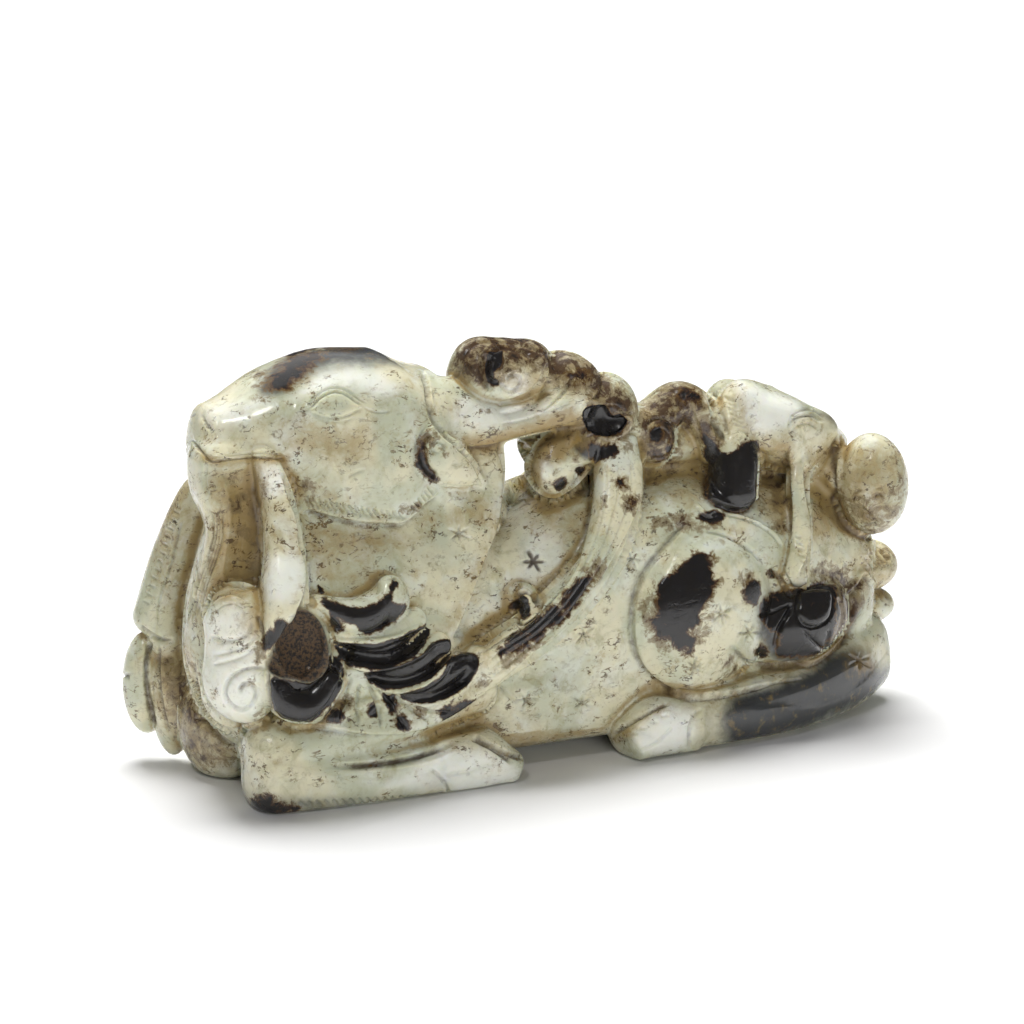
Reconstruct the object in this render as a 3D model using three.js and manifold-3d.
// A recumbent deer with a boy lying over its rump, carved from one pebble of jade.
// Millimetres. +X runs toward the rump, -Y is the side that the carving is seen from, +Z is up.
// The stone stands on its hooves, knees and hocks, ground flat at Z = 0.

import * as THREE from "three";
import { LoftGeometry } from "three/addons/geometries/LoftGeometry.js";
import { mergeVertices } from "three/addons/utils/BufferGeometryUtils.js";
import Module from "manifold-3d";

const wasm = await Module();
wasm.setup();

// Driving dimensions.

const HALF_WIDTH = 14.5; // the trunk, from the middle plane to its side
const BACK_HEIGHT = 38;
const BELLY_HEIGHT = 1.4;
const CENTRE = [5.5, -0.15, 0]; // the middle of the carving's footprint, put at the origin

// Shapes.

const vector = (p) => new THREE.Vector3(...p);

// Turns a closed surface into a solid that can be joined and cut.
function solid(surface) {
  const geometry = new THREE.BufferGeometry();
  geometry.setAttribute("position", surface.attributes.position);
  geometry.setIndex(surface.index);
  const welded = mergeVertices(geometry, 1e-4);
  return new wasm.Manifold(
    new wasm.Mesh({
      numProp: 3,
      vertProperties: new Float32Array(welded.attributes.position.array),
      triVerts: new Uint32Array(welded.index.array),
    }),
  );
}

// A rounded mass swept along a smooth line. A station is [x, y, z, half width, half height]: the
// half width lies across the carving, the half height square to it and to the line. The ends are
// rounded by one section for each angle in `rounds`, out to `tip` times the smaller half size.
function limb(stations, { sides = 8, steps = 2, square = 2, tip = 0.8, rounds = [72, 36] } = {}) {
  const line = new THREE.CatmullRomCurve3(stations.map(([x, y, z]) => vector([x, y, z])));
  const sizes = new THREE.CatmullRomCurve3(stations.map((s) => vector([s[3], s[4], 0])));
  const last = stations.length - 1;
  const sections = [];

  function section(t, shift, scale) {
    const middle = line.getPoint(t);
    const ahead = line.getTangent(t);
    const side = new THREE.Vector3(0, 1, 0).addScaledVector(ahead, -ahead.y).normalize();
    const top = new THREE.Vector3().crossVectors(ahead, side);
    const size = sizes.getPoint(t).multiplyScalar(scale);
    middle.addScaledVector(ahead, shift);
    const ring = [];
    for (let i = 0; i < sides; i++) {
      const angle = (2 * Math.PI * i) / sides;
      const c = Math.cos(angle);
      const s = Math.sin(angle);
      const a = Math.sign(c) * Math.abs(c) ** (2 / square) * size.x;
      const b = Math.sign(s) * Math.abs(s) ** (2 / square) * size.y;
      ring.push(middle.clone().addScaledVector(side, a).addScaledVector(top, b));
    }
    sections.push(ring);
  }

  const roundings = rounds.map(THREE.MathUtils.degToRad);
  const reach = (s) => tip * Math.min(s[3], s[4]);
  for (const angle of roundings) {
    section(0, -reach(stations[0]) * Math.sin(angle), Math.cos(angle));
  }
  for (let i = 0; i <= last * steps; i++) {
    section(i / (last * steps), 0, 1);
  }
  for (const angle of [...roundings].reverse()) {
    section(1, reach(stations[last]) * Math.sin(angle), Math.cos(angle));
  }
  return solid(new LoftGeometry(sections, { capStart: true, capEnd: true }));
}

// An egg-shaped mass. `turn` swings it about Z, `lean` tips its +X end up, `roll` is about its own X.
function egg(centre, radii, { turn = 0, lean = 0, roll = 0, detail = 9 } = {}) {
  const geometry = new THREE.SphereGeometry(1, detail, Math.round(detail * 0.6));
  const [x, y, z] = [roll, -lean, turn].map(THREE.MathUtils.degToRad);
  geometry.scale(...radii);
  geometry.applyMatrix4(new THREE.Matrix4().makeRotationFromEuler(new THREE.Euler(x, y, z, "ZYX")));
  geometry.translate(...centre);
  return solid(geometry);
}

// The same mass on the far side of the carving.
const mirrored = (body) => body.mirror([0, 1, 0]);
const join = (bodies) => wasm.Manifold.union(bodies);

// The deer.

function trunk() {
  const middle = (BACK_HEIGHT + BELLY_HEIGHT) / 2;
  const half = (BACK_HEIGHT - BELLY_HEIGHT) / 2;
  return limb(
    [
      [-38, 0, 18, 11, 13],
      [-30, 0, 18.5, 13, 15.5],
      [-17, 0, middle - 1, HALF_WIDTH, half - 1],
      [-3, 0, middle - 1.6, HALF_WIDTH - 0.6, half - 1.8],
      [10, 0, middle, HALF_WIDTH + 0.5, half],
      [24, 0, middle, HALF_WIDTH + 1, half],
      [40, 0, middle - 1, HALF_WIDTH - 1, half - 1.5],
      [50, 0, 18, 10, 12],
    ],
    { sides: 20, steps: 1, square: 3 },
  );
}

// Between the legs the belly hangs almost to the ground.
function belly() {
  return limb([[-12, 0, 8, 14, 6.4], [14, 0, 8, 14, 6.4]], { sides: 12, square: 3.6, steps: 1 });
}

function neck() {
  return limb(
    [
      [-28, 0, 10, 15, 17],
      [-27, 0, 20, 16, 19.5],
      [-24.7, 0, 31, 14, 20.2],
      [-24.5, 0, 42, 9.5, 19],
    ],
    { sides: 18, square: 2.3 },
  );
}

// The crest of the neck behind the ears, one side of it.
function nape() {
  return limb(
    [
      [-8.6, -4.6, 47, 4.6, 4.6],
      [-8.4, -5, 41, 4.8, 4.8],
      [-11, -7, 33.5, 5, 4.8],
      [-15, -8, 25, 5, 5],
    ],
    { square: 2.8, steps: 1 },
  );
}

// The throat and breast, from the chin down to the ground.
function throat() {
  return join([
    limb(
      [
        [-43.6, -3, 46, 4.6, 4.8],
        [-43.4, -3, 43, 4.8, 4.8],
        [-42, -3.4, 39.5, 5, 4.8],
        [-41.4, -3.6, 36, 5, 4.8],
        [-42.8, -3.6, 31.5, 5, 4.8],
        [-44.6, -4, 26, 5, 4.8],
        [-45, -4, 19, 5, 4.8],
        [-42.5, -3, 12.5, 5, 4.8],
      ],
      { square: 2.6, steps: 1 },
    ),
    egg([-39.5, 4, 22], [5, 6.5, 9]),
  ]);
}

function head() {
  const skull = limb(
    [
      [-45, 0, 48.2, 4.8, 4.9],
      [-41, 0, 47.7, 7, 7],
      [-36, 0, 47.5, 9, 9.4],
      [-28, 0, 47.2, 10.8, 11.5],
      [-20, 0, 46.4, 11.6, 11.7],
      [-12.5, 0, 47.3, 9.5, 8],
    ],
    { sides: 14, square: 2.5, tip: 0.4 },
  );
  const jaw = egg([-23.4, -7.2, 41.8], [12.5, 4.4, 6.6], { lean: -8 });
  const brow = egg([-30, -7.9, 52.6], [4.5, 2.2, 2.4], { turn: 12 });
  const ear = limb(
    [
      [-17.2, -10, 48.2, 1.8, 2],
      [-15.2, -11, 44.6, 1.8, 3.4],
      [-11.8, -10.5, 42.3, 1.5, 2.5],
      [-8.6, -9.5, 40.5, 1, 1],
    ],
    { sides: 8 },
  );
  const eye = egg([-30.2, -9.9, 52.3], [3.4, 0.9, 1.4], { turn: 6, detail: 7 });
  const halves = [jaw, brow, ear, eye];
  return join([skull, ...halves, ...halves.map(mirrored)]);
}

// The slit of the mouth, one side of it.
function mouth() {
  return limb(
    [
      [-48.6, -2.5, 49, 1, 0.5],
      [-47, -4.8, 47.7, 1.6, 0.5],
      [-45.6, -6.6, 46.8, 1.8, 0.5],
      [-42.6, -8, 47.1, 1.8, 0.5],
      [-37.4, -9.8, 46.4, 1.6, 0.5],
    ],
    { sides: 4, steps: 1, rounds: [50] },
  );
}

// The near antler lies back over the neck: a beam, three lobes above it and a drop hanging below.
function nearAntler() {
  const pit = egg([10.8, -10.6, 47.2], [2.8, 1.8, 2.2], { lean: -10 });
  return join([
    limb([
      [-12.5, -5, 50.3, 3.8, 4.4],
      [-7, -6.2, 48, 3.8, 3.5],
      [-2, -6.6, 48, 3.6, 2.7],
      [4, -6.6, 49, 4, 3.2],
      [9, -6, 48.5, 4, 3.5],
    ]),
    egg([-3.4, -4.2, 53.9], [7.2, 5, 5], { turn: -10 }),
    egg([-6.4, -4.6, 54.5], [3.7, 4.6, 4.5]),
    egg([6.6, -4.2, 51.8], [5.4, 5, 4.3], { lean: -14 }),
    egg([12.4, -5.4, 47.4], [4.8, 5, 5.4], { detail: 12 }),
    limb([
      [8.6, -7, 44.2, 3, 3.4],
      [4.4, -7.6, 41.4, 3.4, 4.2],
      [2.2, -8, 40, 3.2, 3.8],
    ]),
  ]).subtract(pit);
}

// The far antler is plainer: two smooth lobes.
function farAntler() {
  return join([egg([0.6, 5, 50.2], [7.4, 4.6, 4.6]), egg([9, 5, 48], [8, 4.8, 4.8])]);
}

// A ribbon of parallel strands falls from the antlers over the flank and curls forward.
function ribbon() {
  const strands = [-2.1, 0, 2.1];
  const path = [
    [12.6, -8, 43.5],
    [12.3, -9.8, 39.6],
    [10.4, -12.6, 33.8],
    [7.2, -14.6, 29.2],
    [2.6, -15.8, 25],
    [-4, -16.6, 20.6],
    [-10.5, -16.2, 17.2],
    [-15.5, -14.6, 13.6],
  ];
  const spine = new THREE.CatmullRomCurve3(path.map(vector));
  return join(
    strands.map((offset) =>
      limb(
        path.map(([x, y, z], i) => {
          const ahead = spine.getTangent(i / (path.length - 1));
          const aside = new THREE.Vector3(ahead.z, 0, -ahead.x).normalize();
          return [x + offset * aside.x, y, z + offset * aside.z, 2.2, 1.2];
        }),
        { sides: 6, steps: 1, rounds: [50] },
      ),
    ),
  );
}

// The hind quarter: a round haunch, and the shank folded forward along the ground.
function hindQuarter() {
  return join([
    egg([23.2, -12, 18.8], [12.2, 6.8, 12.2], { detail: 13 }),
    limb(
      [
        [55.5, -3, 7, 5, 6.2],
        [49, -7, 6, 5.5, 6.2],
        [36, -12, 5, 5.5, 5.2],
        [21, -14, 4.4, 5, 4.2],
      ],
      { square: 2.8 },
    ),
    limb(
      [
        [21, -14, 4.2, 5.2, 4.6],
        [16, -14.4, 4.4, 5, 4.8],
        [11, -15, 2.6, 4.2, 3],
      ],
      { square: 2.5, tip: 0.3 },
    ),
  ]);
}

// The near foreleg is folded under the shoulder: forearm forward to the knee, shank back again.
function foldedForeleg() {
  return join([
    limb([
      [-12, -12.5, 13, 5, 4.4],
      [-24, -13.5, 10.5, 5, 4.6],
      [-37, -12.5, 8.5, 5.5, 5],
      [-41, -12, 7, 5.5, 6],
    ]),
    limb(
      [
        [-41.2, -12.4, 4, 5.6, 5.4],
        [-32, -14, 3.6, 5.2, 4.3],
        [-20, -14.9, 3.6, 4.8, 4],
      ],
      { square: 2.8 },
    ),
    limb(
      [
        [-18, -14.6, 3.6, 5, 4.6],
        [-12, -15, 3.2, 4.6, 4.4],
        [-7.8, -15.4, 1.8, 3.6, 2.6],
      ],
      { square: 2.6 },
    ),
  ]);
}

// The far foreleg is raised at the knee and sets its cloven hoof down in front of the chest.
function raisedForeleg() {
  return join([
    limb([
      [-22, 10, 26, 5, 6],
      [-35, 9, 34, 4.5, 5],
      [-40.4, 10.2, 38.8, 3, 2.6],
      [-43.7, 12.4, 29.6, 3.8, 3.8],
      [-46.4, 13.5, 20.2, 3.4, 4],
    ]),
    egg([-45.4, 12.6, 17.6], [3, 3, 3.6], { detail: 7 }),
    egg([-48, 15, 11], [3.4, 3, 7.3]),
    egg([-45.4, 12, 9.4], [3, 3.6, 8.4]),
    egg([-41, 5, 7], [6, 8, 8.2]),
  ]);
}

// The fungus spray that the deer holds in its mouth.

const SPRAY_FACE = -19; // how far out the fan's blades lie

function spray() {
  const stem = limb(
    [
      [-39.9, -6.6, 46.4, 2.4, 1.8],
      [-39.2, -10.2, 41.5, 2.3, 2],
      [-39, -13, 35.5, 2.4, 2.4],
      [-39.5, -15.2, 29.5, 3, 3],
      [-41, -15.5, 23.5, 2.4, 3.2],
    ],
    { sides: 8 },
  );
  const lobes = [
    egg([-45.6, -11.2, 26.6], [4.6, 3.6, 4.6], { turn: -38 }),
    egg([-45.7, -12, 22.4], [4.4, 3.2, 4], { turn: -38, detail: 7 }),
    egg([-45.4, -12.3, 18.4], [5.4, 3.8, 6.2], { turn: -38 }),
  ];
  const cup = egg([-39.2, -14.5, 22.5], [5.4, 5, 7], { turn: -10 });
  const hollow = egg([-39.8, -19.6, 23.8], [3.5, 2.6, 4.5], { turn: -15 });
  const lip = limb(
    [
      [-43, -16, 19.5, 2, 1.6],
      [-41.6, -17, 15.8, 2, 2.2],
      [-38, -17.4, 14.8, 2, 2.4],
      [-35, -17.4, 17.5, 2, 2],
    ],
    { sides: 8 },
  );
  return join([stem, ...lobes, cup, lip]).subtract(hollow);
}

// Crescent blades step down along the stem side, each with its tip turned up, over a skirt of petals.
function fan() {
  const blades = 5;
  const roots = new THREE.CatmullRomCurve3([
    vector([-36.4, SPRAY_FACE + 3.4, 28.2]),
    vector([-31.5, SPRAY_FACE + 2.6, 20]),
    vector([-25.5, SPRAY_FACE + 3, 13.4]),
  ]);
  const tips = new THREE.CatmullRomCurve3([
    vector([-25.4, SPRAY_FACE + 2.8, 28.6]),
    vector([-18.2, SPRAY_FACE + 2.6, 20.6]),
    vector([-11.6, SPRAY_FACE + 3.4, 14]),
  ]);
  const parts = [egg([-25.5, -11.8, 18], [12.5, 6, 9])];
  for (let i = 0; i < blades; i++) {
    const root = roots.getPoint(i / (blades - 1));
    const tip = tips.getPoint(i / (blades - 1));
    const sag = root.clone().lerp(tip, 0.55);
    sag.y -= 0.5;
    sag.z -= 2.4 - 0.3 * i;
    parts.push(
      limb(
        [
          [...root.toArray(), 2, 1.2],
          [...sag.toArray(), 2.4, 2.5],
          [...tip.toArray(), 1.8, 1.7],
        ],
        { sides: 6, steps: 2, rounds: [50] },
      ),
    );
  }
  parts.push(egg([-25.4, SPRAY_FACE + 2.6, 27.6], [2.5, 2, 3.4], { lean: 10, detail: 8 }));
  const petals = 6;
  const heart = vector([-26.5, SPRAY_FACE + 3.2, 15]);
  for (let i = 0; i < petals; i++) {
    const a = THREE.MathUtils.degToRad(-22 - (128 * i) / (petals - 1));
    const at = (k) => [heart.x + 10 * k * Math.cos(a), heart.y, heart.z + 5.5 * k * Math.sin(a)];
    parts.push(limb([[...at(0.3), 2, 1], [...at(0.9), 2, 1.6]], { sides: 6, steps: 1, rounds: [50] }));
  }
  return join(parts);
}

// The boy on the rump.

function boy() {
  return join([
    // the body, lying with the head to the rear
    limb(
      [
        [33.5, -4, 44.6, 6.5, 4.6],
        [39, -3.4, 42, 8, 5.6],
        [45, -2, 39, 7.2, 5.3],
        [50, 0, 36, 4.4, 4.8],
      ],
      { sides: 12, square: 2.8, tip: 0.5 },
    ),
    egg([46, 0, 30], [8, 7, 7.5]),
    // the bent knee, and the shin with its boot hanging from it
    limb([
      [38, -4.5, 45, 4, 3.4],
      [34, -6, 46.8, 3.4, 2.8],
      [31.8, -7.2, 44.8, 2.6, 2.8],
      [31.4, -9, 39, 3.2, 3.5],
      [30.8, -10, 34.6, 3, 3.4],
    ]),
    // the shoulder and the arm that hangs from it
    egg([45.6, -6.8, 41.2], [3.4, 3.2, 3], { lean: -15 }),
    limb(
      [
        [45, -7.6, 40.2, 2.2, 2.4],
        [41.8, -10, 36.4, 2.4, 1.8],
        [39.9, -12.6, 30.4, 2.3, 1.7],
        [39.2, -14.3, 26, 2.1, 1.7],
        [37.8, -15, 22.5, 1.8, 2],
      ],
      { sides: 8 },
    ),
    // the neck and the head
    egg([50.2, -6.4, 34.8], [3.4, 3.4, 3.8], { detail: 8 }),
    egg([53.6, -9.6, 33.4], [5, 5.4, 7.3], { detail: 12, lean: 4 }),
    // the hands, one above the other
    egg([56.9, -2, 19.3], [5, 5, 3.8]),
    egg([57.9, -1, 13], [4.4, 4, 2.7]),
  ]);
}

function lotusLeaf() {
  return join([
    egg([40, -10.5, 15.8], [10, 6.6, 6.6], { turn: 20, lean: 4, detail: 12 }),
    egg([49, -5, 15], [7, 6, 7]),
  ]);
}

// The cloud-like scrolls that tie the antlers to the boy, and the small knob on the flank.
function scrolls() {
  return join([
    limb([
      [15.5, -5, 45, 4, 2.8],
      [19.4, -4.6, 44.5, 4.2, 2.8],
      [24.4, -4.6, 47.2, 3.4, 2.9],
      [26.6, -5, 46.2, 3.4, 3],
      [28.8, -6, 43, 3.3, 3],
      [30, -7.2, 39.5, 3, 2.8],
    ]),
    egg([19.4, -6.6, 42.6], [3.5, 3, 3.8]),
    egg([24, 0, 41], [9, 7, 5.5]),
    egg([11.5, 2, 41.5], [8.5, 7, 6]),
    egg([-4.6, -14.6, 24.8], [1.8, 2.4, 2.1], { detail: 8 }),
  ]);
}

// The whole stone.

const hind = hindQuarter();
const crest = nape();
const slit = mouth();
const joined = join([
  trunk(),
  belly(),
  neck(),
  crest,
  mirrored(crest),
  throat(),
  head(),
  nearAntler(),
  farAntler(),
  ribbon(),
  hind,
  mirrored(hind),
  foldedForeleg(),
  raisedForeleg(),
  spray(),
  fan(),
  boy(),
  lotusLeaf(),
  scrolls(),
])
  .subtract(slit)
  .subtract(mirrored(slit))
  .trimByPlane([0, 0, 1], 0)
  .simplify(0.65);

// Only the outer skin is kept, so that no pocket is left sealed inside the stone.
const skins = joined.decompose().sort((a, b) => b.volume() - a.volume());
const carving = skins[0];

// The node.

function mesh(name, body, colour) {
  const data = body.getMesh();
  const geometry = new THREE.BufferGeometry();
  geometry.setAttribute("position", new THREE.BufferAttribute(data.vertProperties, 3));
  geometry.setIndex(new THREE.BufferAttribute(data.triVerts, 1));
  geometry.computeVertexNormals();
  const material = new THREE.MeshStandardMaterial({ color: colour, roughness: 0.3, metalness: 0 });
  const made = new THREE.Mesh(geometry, material);
  made.name = name;
  return made;
}

const group = new THREE.Group();
const stone = mesh("deer_and_boy_carving", carving, 0xc9c9ab);
stone.position.copy(vector(CENTRE)).negate();
group.add(stone);

export default group;
